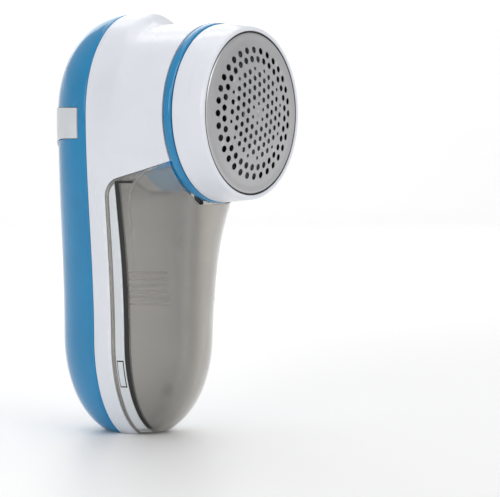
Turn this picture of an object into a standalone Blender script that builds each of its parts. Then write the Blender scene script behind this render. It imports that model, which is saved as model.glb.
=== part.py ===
"""Fabric shaver: handle with a domed perforated foil, lint container and rechargeable drive.

Dimensions are in millimetres; the mesh helpers turn them into metres (+Z up).
The front of the head looks along -Y, and +X is the shaver's own left side.
Depths called f are measured forward from the plane where the two casings meet.
"""

import math

import bmesh
import bpy
from mathutils import Matrix, Vector

# ---------------------------------------------------------------- driving dimensions (mm)
MM = 0.001
GAP = 0.3                # air between touching pieces
PARTING_Y = 15.0         # world y of the plane where the casings meet

HEAD_Z = 118.0           # height of the head's axis
HANDLE_R = 29.0          # half width of the handle at the head's axis
CROWN_R = 36.5           # height of the crown above the head's axis
HEEL_Z = 36.0            # centre height of the rounded lower end
HEEL_W = 24.5            # half width of the handle there
HEEL_R = 38.5            # drop of the rounded end, cut flat at the foot
BACK_DEPTH = 25.0        # depth of the rear casing
ROUNDNESS = 2.3          # exponent of the casings' sections
WALL = 2.2               # casing wall

BARREL_R = 32.4          # radius of the head barrel
BARREL_FRONT = 36.5      # front end of the barrel
FLARE_END = 16.0         # where the flanks have widened to the barrel
CREST_START, CREST_END = 9.5, 15.5
STRIP_DEPTH = 7.5        # depth of the housing beside the container
CORNER_Z, CORNER_R = 95.2, 7.5   # top rear corner of the container
EDGE_RISE = 0.27         # slope of the container's top edge

CONTAINER_WALL = 1.6
BIN_FRAME_END = 13.0     # front edge of the container's pale frame
SEAL_WIDTH = 0.6         # width of the dark seal round the frame
LIP_Z = 85.3             # top of the container's front lip

WALL_BACK, WALL_FRONT = 3.6, 5.4     # partition between casing and container

COLLAR_FRONT = 40.0
COVER_FRONT = 54.0
COVER_R, COVER_R_FRONT = 32.0, 30.9
FOIL_R = 28.7            # visible radius of the foil
FOIL_EDGE = 52.2         # depth of the foil's rim
FOIL_DOME = 3.0
FOIL_THICKNESS = 0.3
HOLE_PITCH = 3.47
HOLE_TILT = math.radians(21.5)

SHAFT_R = 1.15
BLADE_COUNT = 3
FAN_VANES = 8
TRIM_PROUD, TRIM_SUNK = 0.45, 0.5    # back trim above and below the casing's surface

BATTERY_R, BATTERY_LENGTH, BATTERY_X, BATTERY_F, BATTERY_Z = 7.1, 50.0, 8.0, -6.0, 20.0
CASE_SCREWS = ((20.5, 70.0, -12.4), (13.0, 14.0, -13.0))   # x, z and boss end

BORE_R, BORE_BACK_R = 30.2, 26.6     # bore of the barrel, and behind the motor plate
MOTOR_R, PLATE_R, FAN_R = 12.0, 29.6, 24.0
JACK_R, JACK_F = 2.7, -7.4
PIN_Z = 144.3

YOKE_DIP_Z, ARM_TOP_Z, ARM_LOW_Z = 113.5, 120.0, 109.0
ARM_END_F, ARM_REACH = -2.8, 34.0
STEM_HALF, ARCH_WIDTH, ARCH_DROP = 5.0, 24.0, 26.0
STEM_TIP_Z, STEM_TIP_R = 34.5, 3.6

SWITCH_Z0, SWITCH_Z1 = 78.0, 103.0
SWITCH_F0, SWITCH_F1 = -4.0, 4.5
KNOB_Z, KNOB_HEIGHT, KNOB_TRAVEL = 86.0, 7.0, 5.0

# ---------------------------------------------------------------- materials
MATERIALS = {
    "blue_plastic": ((0.03, 0.25, 0.50), 0.25, 0.0),
    "white_plastic": ((0.78, 0.80, 0.84), 0.35, 0.0),
    "smoke_plastic": ((0.30, 0.28, 0.25), 0.15, 0.0),
    "seal_rubber": ((0.02, 0.02, 0.02), 0.6, 0.0),
    "steel": ((0.55, 0.55, 0.56), 0.25, 1.0),
    "dark_plastic": ((0.03, 0.03, 0.035), 0.45, 0.0),
    "board_green": ((0.02, 0.16, 0.07), 0.5, 0.0),
    "copper": ((0.70, 0.35, 0.18), 0.3, 1.0),
    "battery_wrap": ((0.05, 0.30, 0.12), 0.35, 0.0),
    "wire_red": ((0.55, 0.03, 0.02), 0.5, 0.0),
    "wire_black": ((0.02, 0.02, 0.02), 0.5, 0.0),
}


def make_material(name):
    """Return the named Principled material, made on first use."""
    found = bpy.data.materials.get(name)
    if found:
        return found
    colour, roughness, metallic = MATERIALS[name]
    material = bpy.data.materials.new(name)
    material.use_nodes = True
    shader = material.node_tree.nodes["Principled BSDF"]
    shader.inputs["Base Color"].default_value = (*colour, 1.0)
    shader.inputs["Roughness"].default_value = roughness
    shader.inputs["Metallic"].default_value = metallic
    return material


# ---------------------------------------------------------------- scene helpers
for old in list(bpy.data.objects):
    bpy.data.objects.remove(old, do_unlink=True)

PARTS = bpy.data.collections.new("fabric_shaver")
CUTTERS = bpy.data.collections.new("cutters")
bpy.context.scene.collection.children.link(PARTS)
bpy.context.scene.collection.children.link(CUTTERS)


def at(x, f, z):
    """World point in metres for a place given in millimetres."""
    return Vector((x, PARTING_Y - f, z)) * MM


def add_object(name, mesh, material=None):
    """Put a mesh in the scene, as a part when it has a material and as a cutter when not."""
    thing = bpy.data.objects.new(name, mesh)
    if material:
        thing.data.materials.append(make_material(material))
        PARTS.objects.link(thing)
    else:
        thing.hide_render = True
        thing.display_type = "WIRE"
        CUTTERS.objects.link(thing)
    return thing


def from_bmesh(name, form, material=None):
    """Finish a bmesh as an object with its faces pointing out."""
    bmesh.ops.recalc_face_normals(form, faces=form.faces)
    mesh = bpy.data.meshes.new(name)
    form.to_mesh(mesh)
    form.free()
    return add_object(name, mesh, material)


def loft(name, rings, material=None):
    """Skin a list of closed rings with equal numbers of points, and cap both ends."""
    form = bmesh.new()
    rows = [[form.verts.new(point) for point in ring] for ring in rings]
    count = len(rows[0])
    for low, high in zip(rows, rows[1:]):
        for i in range(count):
            j = (i + 1) % count
            form.faces.new((low[i], low[j], high[j], high[i]))
    form.faces.new(rows[0])
    form.faces.new(rows[-1])
    return from_bmesh(name, form, material)


def box(name, x, f, z, material=None, bevel=0.0):
    """Block between the pairs of limits x, f and z."""
    low, high = at(x[0], f[1], z[0]), at(x[1], f[0], z[1])
    form = bmesh.new()
    bmesh.ops.create_cube(form, size=1.0)
    bmesh.ops.scale(form, vec=high - low, verts=form.verts)
    thing = from_bmesh(name, form, material)
    thing.location = (low + high) / 2
    if bevel:
        edge = thing.modifiers.new("edges", "BEVEL")
        edge.width = bevel * MM
        edge.segments = 2
    return thing


def turned(name, profile, material=None, segments=48, centre=(0.0, HEAD_Z)):
    """Turn a profile of (radius, f) points about an axis that runs forward.

    The points run from the front to the back along the outer side. A profile that
    starts on the axis is open there, and any other is a closed loop.
    """
    mesh = bpy.data.meshes.new(name)
    points = [(radius * MM, 0.0, f * MM) for radius, f in profile]
    edges = [(i, i + 1) for i in range(len(points) - 1)]
    if profile[0][0] > 0:
        edges.append((len(points) - 1, 0))
    mesh.from_pydata(points, edges, [])
    thing = add_object(name, mesh, material)
    thing.rotation_euler = (math.pi / 2, 0.0, 0.0)
    thing.location = at(centre[0], 0.0, centre[1])
    screw = thing.modifiers.new("turn", "SCREW")
    screw.axis = "Z"
    screw.steps = screw.render_steps = segments
    screw.use_merge_vertices = True
    screw.merge_threshold = 1e-6
    screw.use_smooth_shade = False
    return thing


def rod(name, radius, start, end, material=None, segments=20):
    """Cylinder between two points given as (x, f, z)."""
    a, b = at(*start), at(*end)
    form = bmesh.new()
    bmesh.ops.create_cone(form, cap_ends=True, segments=segments, radius1=radius * MM,
                          radius2=radius * MM, depth=(b - a).length)
    thing = from_bmesh(name, form, material)
    thing.rotation_euler = (b - a).to_track_quat("Z", "Y").to_euler()
    thing.location = (a + b) / 2
    return thing


def wire(name, radius, points, material):
    """Round wire through points given as (x, f, z)."""
    curve = bpy.data.curves.new(name, "CURVE")
    curve.dimensions = "3D"
    curve.bevel_depth = radius * MM
    curve.bevel_resolution = 2
    curve.use_fill_caps = True
    spline = curve.splines.new("POLY")
    spline.points.add(len(points) - 1)
    for target, point in zip(spline.points, points):
        target.co = (*at(*point), 1.0)
    return add_object(name, curve, material)


def boolean(target, tool, operation):
    """Apply one Boolean operation and keep the tool among the cutters."""
    change = target.modifiers.new(operation.lower() + "_" + tool.name, "BOOLEAN")
    change.operation = operation
    change.solver = "EXACT"
    change.object = tool
    return target


def cut(target, *tools):
    """Take each tool's shape out of the target."""
    for tool in tools:
        boolean(target, tool, "DIFFERENCE")
    return target


def join(target, *tools):
    """Add each tool's shape to the target."""
    for tool in tools:
        boolean(target, tool, "UNION")
    return target


def keep(target, tool):
    """Keep only what the target shares with the tool."""
    return boolean(target, tool, "INTERSECT")


# ---------------------------------------------------------------- outer form
def smooth_step(low, high, value):
    """Ease from 0 at low to 1 at high."""
    t = min(1.0, max(0.0, (value - low) / (high - low)))
    return t * t * (3.0 - 2.0 * t)


def super_root(value):
    """Height of the section's curve at a fraction of its span."""
    return max(0.0, 1.0 - min(1.0, abs(value)) ** ROUNDNESS) ** (1.0 / ROUNDNESS)


def handle_half_width(z, inset=0.0):
    """Half width of the handle where the casings meet."""
    if z > HEAD_Z:
        rise = min(1.0, (z - HEAD_Z) / (CROWN_R - inset))
        return (HANDLE_R - inset) * math.sqrt(1.0 - rise * rise)
    if z < HEEL_Z:
        drop = min(1.0, (HEEL_Z - z) / (HEEL_R - inset))
        return (HEEL_W - inset) * math.sqrt(1.0 - drop * drop)
    return HEEL_W - inset + (HANDLE_R - HEEL_W) * smooth_step(HEEL_Z, HEAD_Z, z)


def barrel_half_width(z):
    """Half width of the barrel's circle at a height."""
    return math.sqrt(max(0.0, BARREL_R ** 2 - (z - HEAD_Z) ** 2))


def front_depth(z, inset=0.0):
    """How far the front of the body reaches forward at a height."""
    depth = 29.0 + 0.9 * math.exp((z - 37.0) / 21.0)
    if z < HEEL_Z:
        depth *= super_root((HEEL_Z - z) / (HEEL_R - inset))
    if z > HEAD_Z - BARREL_R:
        share = min(0.999, barrel_half_width(z) / handle_half_width(min(z, HEAD_Z)))
        depth = max(depth, (BARREL_FRONT - GAP) / super_root(share))
    return max(0.0, depth - inset)


def body_half_width(z, f, inset=0.0):
    """Half width of the front body below the head's axis."""
    depth = front_depth(z, inset)
    if depth <= 0.0:
        return 0.0
    plain = handle_half_width(z, inset) * super_root(f / depth)
    flare = max(0.0, barrel_half_width(z) - inset - plain)
    return plain + flare * smooth_step(1.0, FLARE_END, f)


def lowest_z(f, inset=0.0):
    """Height at which the front body's outline closes at a depth."""
    low, high = HEEL_Z - HEEL_R + inset, HEAD_Z - BARREL_R
    for _ in range(40):
        middle = (low + high) / 2
        if front_depth(middle, inset) > f:
            high = middle
        else:
            low = middle
    return high


def front_outline(f, inset=0.0, flank=14, crown=16):
    """Closed outline of the front body at a depth, as (x, z) points."""
    bottom = lowest_z(f, inset)
    side = []
    for i in range(1, flank + 1):
        z = bottom + (HEAD_Z - bottom) * (1.0 - math.cos(math.pi / 2 * i / flank))
        side.append((body_half_width(z, f, inset), z))
    top = []
    for i in range(1, crown):
        angle = math.pi * i / crown
        plain_x, plain_z = (HANDLE_R - inset) * math.cos(angle), (CROWN_R - inset) * math.sin(angle)
        plain = math.hypot(plain_x, plain_z)
        direction = math.atan2(plain_z, plain_x)
        side_share = smooth_step(1.0, FLARE_END, f)
        crest_share = smooth_step(CREST_START, CREST_END, f)
        rise = math.sin(direction) ** 2
        share = side_share * (1.0 - rise) + crest_share * rise
        radius = plain + (BARREL_R - inset - plain) * share
        top.append((radius * math.cos(direction), HEAD_Z + radius * math.sin(direction)))
    mirrored = [(-x, z) for x, z in reversed(side)]
    return [(0.0, bottom)] + side + top + mirrored


def front_body(name, f0, f1, inset=0.0, steps=12, material=None):
    """Solid of the front body between two depths."""
    depths = [f0 + (f1 - f0) * i / steps for i in range(steps + 1)]
    rings = [[at(x, f, z) for x, z in front_outline(f, inset)] for f in depths]
    return loft(name, rings, material)


def rear_rings(inset, proud=0.0, rows=7, around=44):
    """Rings of the rear casing's surface from the parting plane to the back."""
    rings = []
    for i in range(rows + 1):
        turn = math.pi / 2 * 0.96 * i / rows
        share = math.cos(turn) ** (2.0 / ROUNDNESS)
        depth = (BACK_DEPTH + proud - inset) * math.sin(turn) ** (2.0 / ROUNDNESS)
        ring = []
        for k in range(around):
            angle = 2.0 * math.pi * k / around
            across, up = math.cos(angle), math.sin(angle)
            if up >= 0:
                x = (HANDLE_R - inset + proud) * across * share
                z = HEAD_Z + (CROWN_R - inset + proud) * up * share
            else:
                x, z = rear_flank_point(across, up, share, inset - proud)
            ring.append(at(x, -depth, z))
        rings.append(ring)
    return rings


def rear_flank_point(across, up, share, inset):
    """Point of the rear outline below the head's axis, at one share of its width."""
    turn = math.atan2(-up, abs(across)) / (math.pi / 2)
    split = 0.55
    side = 1.0 if across >= 0 else -1.0
    if turn < split:
        z = HEAD_Z + (HEEL_Z - HEAD_Z) * turn / split
        return side * handle_half_width(z, inset) * share, z
    heel = math.pi / 2 * (turn - split) / (1.0 - split)
    x = side * (HEEL_W - inset) * math.cos(heel) * share
    return x, HEEL_Z - (HEEL_R - inset) * math.sin(heel) * share


def rear_body(name, inset=0.0, proud=0.0, lead=0.0, material=None):
    """Solid of the rear casing's form, led forward of the parting plane when it cuts."""
    rings = rear_rings(inset, proud)
    if lead:
        ahead = Vector((0.0, -lead * MM, 0.0))
        rings.insert(0, [point + ahead for point in rings[0]])
    return loft(name, rings, material)


def container_edge(drop=0.0):
    """Profile of the housing's edge above the container, as (f, z) points."""
    back = STRIP_DEPTH + drop
    centre_f, centre_z = back + CORNER_R, CORNER_Z - CORNER_R
    corner = []
    for i in range(7):
        angle = math.pi - math.pi / 2 * i / 6 * 0.83
        corner.append((centre_f + CORNER_R * math.cos(angle), centre_z + CORNER_R * math.sin(angle) - drop))
    end_f, end_z = corner[-1]
    return corner + [(60.0, end_z + EDGE_RISE * (60.0 - end_f))]


def container_region(name, drop=0.0):
    """Prism that covers the container's side of its joint with the housing."""
    edge = container_edge(drop)
    profile = [(STRIP_DEPTH + drop, -10.0)] + edge + [(edge[-1][0], -10.0)]
    rings = [[at(x, f, z) for f, z in profile] for x in (-60.0, 60.0)]
    return loft(name, rings)


def yoke_outline(grow=0.0):
    """Outline of the back trim seen from behind: two arms and a stem, as (x, z) points."""
    top = []
    for i in range(9):
        x = ARM_REACH * i / 8
        top.append((x, YOKE_DIP_Z + (ARM_TOP_Z - YOKE_DIP_Z) * smooth_step(0.0, 24.0, x) + grow))
    arch = [(ARM_REACH, ARM_LOW_Z - grow)]
    for i in range(9):
        angle = math.pi / 2 * (1.0 - i / 8)
        x = STEM_HALF + grow + (ARCH_WIDTH - grow) * (1.0 - math.cos(angle))
        arch.append((x, ARM_LOW_Z - ARCH_DROP + (ARCH_DROP - grow) * math.sin(angle)))
    tip = []
    radius = STEM_TIP_R + grow
    for i in range(6):
        angle = math.pi / 2 * i / 5
        tip.append((radius * math.cos(angle), STEM_TIP_Z + STEM_TIP_R - radius * math.sin(angle)))
    half = top + arch + tip
    return half + [(-x, z) for x, z in reversed(half[1:-1])]


def yoke_prism(name, grow=0.0):
    """Block behind the casing with the back trim's outline."""
    outline = yoke_outline(grow)
    rings = [[at(x, f, z) for x, z in outline] for f in (ARM_END_F + grow, -40.0)]
    return loft(name, rings)


# ---------------------------------------------------------------- casings
def floor_block(name):
    """Everything below the foot."""
    return box(name, (-60, 60), (-60, 60), (-20, 0))


def raised(hollow):
    """Keep a hollow one wall clear of the foot."""
    return cut(hollow, box(hollow.name + "_floor", (-60, 60), (-60, 60), (-20, WALL)))


def make_rear_shell():
    """Blue casing with screw bosses, a sunk band for the trim and the charging hole."""
    shell = rear_body("rear_shell", material="blue_plastic")
    cut(shell, raised(rear_body("rear_hollow", inset=WALL, lead=1.0)))
    band = cut(yoke_prism("trim_band", GAP), rear_body("trim_bed", inset=TRIM_SUNK + GAP))
    cut(shell, band)
    for x, z, end in CASE_SCREWS:
        for side in (-1, 1):
            spot = f"{'left' if side > 0 else 'right'}_{int(z)}"
            join(shell, rod("boss_" + spot, 3.0, (side * x, 3.3, z), (side * x, end, z)))
            cut(shell, rod("pilot_" + spot, 1.5, (side * x, 4.0, z), (side * x, -9.0, z)))
    cut(shell, rod("jack_hole", JACK_R + GAP, (0, JACK_F, -2), (0, JACK_F, 5)))
    cut(shell, switch_window("window_rear"))
    return cut(shell, floor_block("floor_rear"))


def make_front_housing():
    """White casing: flank strip, partition, shoulders and the upper part of the barrel."""
    housing = front_body("front_housing", 0.0, BARREL_FRONT, steps=12, material="white_plastic")
    cut(housing, container_region("container_side"))
    cut(housing, raised(front_body("front_hollow", -1.0, WALL_BACK, WALL, steps=1)))
    pocket = front_body("pocket", WALL_FRONT, STRIP_DEPTH + 1.0, WALL, steps=1)
    keep(pocket, box("pocket_height", (-40, 40), (0, 20), (WALL, 83)))
    cut(housing, pocket)
    cut(housing, turned("barrel_bore", [(0, 40), (BORE_R, 40), (BORE_R, 12), (BORE_BACK_R, 2),
                                        (BORE_BACK_R, -2), (0, -2)], segments=40))
    for x, z, _ in CASE_SCREWS:
        for side in (-1, 1):
            spot = f"{'left' if side > 0 else 'right'}_{int(z)}"
            cut(housing, rod("hole_" + spot, 1.6, (side * x, 2.0, z), (side * x, 8.0, z)))
    cut(housing, switch_window("window_front"))
    return cut(housing, floor_block("floor_front"))


def make_back_trim():
    """Pale yoke wrapped round the back of the blue casing."""
    trim = rear_body("back_trim", proud=TRIM_PROUD, material="white_plastic")
    keep(trim, yoke_prism("trim_outline"))
    return cut(trim, rear_body("trim_inside", inset=TRIM_SUNK))


def make_lint_chute():
    """Blue floor of the barrel with the outlet that drops lint into the container."""
    chute = turned("lint_chute", [(BARREL_R, 36.2), (BARREL_R, 7.8), (BORE_R + GAP, 7.8),
                                  (BORE_R + GAP, 36.2)], "blue_plastic")
    keep(chute, container_region("chute_side", GAP))
    return cut(chute, box("chute_outlet", (-9, 9), (13, 30), (80, 92), bevel=2.0))


# ---------------------------------------------------------------- power switch
def side_panel(name, f, z, low, high, material=None):
    """Curved plate on the +X flank between pairs of f and z limits."""
    rings = []
    for i in range(9):
        level = z[0] + (z[1] - z[0]) * i / 8
        depths = [f[0] + (f[1] - f[0]) * k / 6 for k in range(7)]
        outer = [at(flank_x(d, level) + high, d, level) for d in depths]
        inner = [at(flank_x(d, level) + low, d, level) for d in reversed(depths)]
        rings.append(outer + inner)
    return loft(name, rings, material)


def flank_x(f, z):
    """Half width of whichever casing lies at this depth."""
    if f >= 0:
        return body_half_width(z, f)
    return handle_half_width(z) * super_root(f / BACK_DEPTH)


def switch_window(name):
    """Cutter for the window that holds the switch plate."""
    return side_panel(name, (SWITCH_F0 - GAP, SWITCH_F1 + GAP), (SWITCH_Z0 - GAP, SWITCH_Z1 + GAP),
                      -WALL - 2.0, 4.0)


def make_switch():
    """Switch plate, sliding knob with its stem, and the slide switch inside."""
    plate = side_panel("switch_plate", (SWITCH_F0, SWITCH_F1), (SWITCH_Z0, SWITCH_Z1), -WALL, 0.4,
                       "white_plastic")
    stem_z = KNOB_Z + KNOB_HEIGHT / 2
    cut(plate, box("stem_slot", (20, 34), (-1.2, 1.8), (stem_z - 1.8, stem_z + KNOB_TRAVEL + 1.8)))
    knob = box("switch_knob", (29.2, 31.0), (-2.9, 3.5), (KNOB_Z, KNOB_Z + KNOB_HEIGHT),
               "white_plastic", bevel=0.5)
    join(knob, box("knob_stem", (22.9, 30.0), (-0.9, 1.5), (stem_z - 1.4, stem_z + 1.4)))
    box("slide_switch", (16.0, 22.5), (-3.4, 3.0), (84.0, 99.0), "dark_plastic", bevel=0.4)


# ---------------------------------------------------------------- drive
def make_motor():
    """Motor can, end cap, terminals, mounting plate and its screws."""
    can = turned("motor_can", [(0, 12), (MOTOR_R, 12), (MOTOR_R, -16), (0, -16)], "steel", 24)
    cut(can, turned("can_bearing", [(0, 13), (3, 13), (3, 9), (0, 9)], segments=20))
    turned("motor_end_cap", [(0, -16.3), (11.5, -16.3), (11.5, -18.3), (0, -18.3)],
           "dark_plastic", 24)
    plate = turned("motor_plate", [(0, 14.3), (PLATE_R, 14.3), (PLATE_R, 12.3), (0, 12.3)],
                   "dark_plastic", 32)
    cut(plate, turned("plate_bore", [(0, 15), (4, 15), (4, 11.5), (0, 11.5)], segments=20))
    for side in (-1, 1):
        x = side * 8.0
        name = "left" if side > 0 else "right"
        box("motor_terminal_" + name, (side * 4 - 1, side * 4 + 1), (-21.5, -18.6), (116, 120),
            "copper")
        screw = turned("motor_screw_" + name, [(0, 16.2), (2.4, 16.2), (2.4, 14.6), (1.1, 14.6),
                                               (1.1, 9.6), (0, 9.6)], "steel", 16, (x, HEAD_Z))
        cut(screw, box("slot_" + name, (x - 3, x + 3), (15.5, 17), (HEAD_Z - 0.35, HEAD_Z + 0.35)))
        cut(plate, rod("plate_hole_" + name, 1.5, (x, 11, HEAD_Z), (x, 15, HEAD_Z)))
        cut(can, rod("can_hole_" + name, 1.5, (x, 9, HEAD_Z), (x, 13, HEAD_Z)))


def make_rotor():
    """Shaft, lint fan and the hub that drives the cutter."""
    rod("motor_shaft", SHAFT_R, (0, 9.4, HEAD_Z), (0, 49.6, HEAD_Z), "steel")
    bore = SHAFT_R + GAP
    fan = turned("fan_wheel", [(4.2, 26), (4.2, 19.6), (FAN_R, 19.6), (FAN_R, 18.2), (bore, 18.2),
                               (bore, 26)], "dark_plastic", 40)
    for i in range(FAN_VANES):
        angle = 2 * math.pi * i / FAN_VANES
        vane = box(f"vane_{i}", (3.4, FAN_R - 0.6), (19.0, 25.5), (HEAD_Z - 0.5, HEAD_Z + 0.5))
        spin_about_head(vane, angle)
        join(fan, vane)
    turned("drive_hub", [(5.2, 42.0), (5.2, 38.0), (bore, 38.0), (bore, 42.0)], "dark_plastic", 24)


def spin_about_head(thing, angle):
    """Turn a placed object about the head's axis."""
    centre = Matrix.Translation(at(0, 0, HEAD_Z))
    thing.matrix_world = centre @ Matrix.Rotation(angle, 4, "Y") @ centre.inverted() @ placed(thing)


def placed(thing):
    """Matrix of an object's own location and rotation."""
    return Matrix.Translation(thing.location) @ thing.rotation_euler.to_matrix().to_4x4()


def foil_depth(radius):
    """Depth of the foil's inner face at a distance from the axis."""
    return FOIL_EDGE + FOIL_DOME * (1.0 - (radius / FOIL_R) ** 2)


def make_cutter():
    """Sprung carrier with its steel blades, which follow the dome of the foil."""
    bore = SHAFT_R + GAP
    carrier = turned("blade_carrier", [(6.5, 48.6), (6.5, 46.2), (bore, 46.2), (bore, 48.6)],
                     "dark_plastic", 24)
    for i in range(BLADE_COUNT):
        angle = 2 * math.pi * i / BLADE_COUNT
        arm = box(f"arm_{i}", (5.6, 23.0), (46.2, 48.6), (HEAD_Z - 2.2, HEAD_Z + 2.2))
        spin_about_head(arm, angle)
        join(carrier, arm)
        make_blade(f"blade_{i + 1}", angle)
    coil = []
    turns, per_turn = 3, 8
    for i in range(turns * per_turn + 1):
        angle = 2 * math.pi * i / per_turn
        depth = 42.6 + 3.0 * i / (turns * per_turn)
        coil.append((3.2 * math.cos(angle), depth, HEAD_Z + 3.2 * math.sin(angle)))
    wire("cutter_spring", 0.25, coil, "steel")


def make_blade(name, angle):
    """Upright steel blade with its edge bowed like the foil."""
    outline = [(6.0, 48.9), (23.6, 48.9)]
    for i in range(7):
        radius = 23.6 - (23.6 - 6.0) * i / 6
        outline.append((radius, foil_depth(radius) - 0.4))
    rings = [[at(r, f, HEAD_Z + side) for r, f in outline] for side in (-0.4, 0.4)]
    blade = loft(name, rings, "steel")
    spin_about_head(blade, angle)


# ---------------------------------------------------------------- head
def make_head():
    """Seat, bayonet collar, cover ring, foil and the ring that clamps it."""
    turned("head_seat", [(28.9, 44), (28.9, 36), (29.9, 36), (29.9, 30), (27.4, 30), (27.4, 44)],
           "white_plastic")
    turned("collar_ring", [(31.9, COLLAR_FRONT), (BARREL_R, 39.6), (BARREL_R, 37.2), (32.0, 36.8),
                           (29.2, 36.8), (29.2, COLLAR_FRONT)], "blue_plastic")
    turned("net_cover_ring", [(29.3, COVER_FRONT), (30.3, COVER_FRONT), (COVER_R_FRONT, 53.4),
                              (COVER_R, 47.0), (COVER_R, 40.3), (29.5, 40.3), (29.5, 53.0),
                              (FOIL_R, 53.0), (FOIL_R, 53.6)], "white_plastic")
    turned("foil_clamp", [(29.2, 51.8), (29.2, 46.9), (25.4, 46.9), (25.4, 47.9), (27.6, 47.9),
                          (27.6, 51.8)], "dark_plastic", 36)
    make_foil()


def foil_holes():
    """Places and radii of the foil's holes: a tilted lattice inside two rings."""
    holes = []
    reach = 5
    for i in range(-reach, reach + 1):
        for k in range(-reach, reach + 1):
            norm = i * i + i * k + k * k
            if norm == 0 or norm > 21:
                continue
            radius = 0.63 if norm in (1, 21) else 0.95
            x = HOLE_PITCH * (i + k / 2)
            y = HOLE_PITCH * k * math.sqrt(3) / 2
            turned_x = x * math.cos(HOLE_TILT) - y * math.sin(HOLE_TILT)
            turned_y = x * math.sin(HOLE_TILT) + y * math.cos(HOLE_TILT)
            holes.append((turned_x, turned_y, radius))
    for ring_r, radius, shift in ((22.5, 1.2, 0.0), (19.3, 1.15, 0.5)):
        for i in range(32):
            angle = 2 * math.pi * (i + shift) / 32
            holes.append((ring_r * math.cos(angle), ring_r * math.sin(angle), radius))
    return holes


def make_foil():
    """Domed steel foil with its pattern of holes, from a filled outline."""
    curve = bpy.data.curves.new("foil_flat", "CURVE")
    curve.dimensions = "2D"
    curve.fill_mode = "BOTH"
    curve.extrude = FOIL_THICKNESS / 2
    add_circle(curve, 0, 0, FOIL_R + 0.4, 48)
    for x, y, radius in foil_holes():
        add_circle(curve, x, y, radius, 4 if radius < 1.0 else 5)
    flat = add_object("foil_flat", curve)
    bpy.context.view_layer.update()
    mesh = bpy.data.meshes.new_from_object(flat.evaluated_get(bpy.context.evaluated_depsgraph_get()))
    bpy.data.objects.remove(flat, do_unlink=True)
    form = bmesh.new()
    form.from_mesh(mesh)
    bmesh.ops.remove_doubles(form, verts=form.verts, dist=0.001)
    for vert in form.verts:
        x, y, z = vert.co
        vert.co = at(x, foil_depth(math.hypot(x, y)) + FOIL_THICKNESS / 2 + z, HEAD_Z + y)
    return from_bmesh("foil", form, "steel")


def add_circle(curve, x, y, radius, count):
    """Add a closed round outline to a flat curve."""
    spline = curve.splines.new("POLY")
    spline.points.add(count - 1)
    spline.use_cyclic_u = True
    for i, point in enumerate(spline.points):
        angle = 2 * math.pi * i / count
        point.co = (x + radius * math.cos(angle), y + radius * math.sin(angle), 0.0, 1.0)


# ---------------------------------------------------------------- container
def bin_body(name, inset=0.0, top=102.3, material=None, heel_rows=6, rows=19, around=18):
    """Solid of the container's form, stacked from the foot to under the barrel."""
    bottom = HEEL_Z - HEEL_R + inset
    levels = [bottom + 30.0 * (1.0 - math.cos(math.pi / 2 * (i + 0.2) / heel_rows))
              for i in range(heel_rows)]
    levels += [bottom + 30.0 + (top - bottom - 30.0) * i / (rows - heel_rows)
               for i in range(rows - heel_rows + 1)]
    rings = []
    for z in levels:
        half, depth = handle_half_width(z, inset), front_depth(z, inset)
        ring = []
        for k in range(around + 1):
            angle = math.pi * (k / around - 0.5)
            across, ahead = math.sin(angle), max(0.0, math.cos(angle))
            x = half * math.copysign(abs(across) ** (2 / ROUNDNESS), across)
            f = depth * ahead ** (2 / ROUNDNESS) if 0 < k < around else 0.0
            if z > LIP_Z and not inset:
                f = min(f, BARREL_FRONT - GAP)
            ring.append(at(x, f, z))
        rings.append(ring)
    return loft(name, rings, material)


def bin_slice(name, f0, f1, material, hollow_from=2.0):
    """Part of the container's wall between two depths."""
    piece = bin_body(name, material=material)
    keep(piece, box(name + "_span", (-40, 40), (f0, f1), (GAP, 110)))
    keep(piece, container_region(name + "_edge", GAP))
    cut(piece, turned(name + "_barrel", [(0, 60), (BARREL_R + GAP, 60), (BARREL_R + GAP, -2),
                                         (0, -2)]))
    hollow = bin_body(name + "_hollow", CONTAINER_WALL, 106.0)
    keep(hollow, box(name + "_depth", (-40, 40), (hollow_from, 60), (CONTAINER_WALL + GAP, 120)))
    return cut(piece, hollow)


def make_container():
    """Smoky dust container with its pale frame and dark seal."""
    bin_slice("container_frame", STRIP_DEPTH + GAP, BIN_FRAME_END, "white_plastic", 9.3)
    seal_start = BIN_FRAME_END + GAP
    bin_slice("container_seal", seal_start, seal_start + SEAL_WIDTH, "seal_rubber")
    bin_slice("dust_container", seal_start + SEAL_WIDTH + GAP, 45.0, "smoke_plastic")


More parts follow.
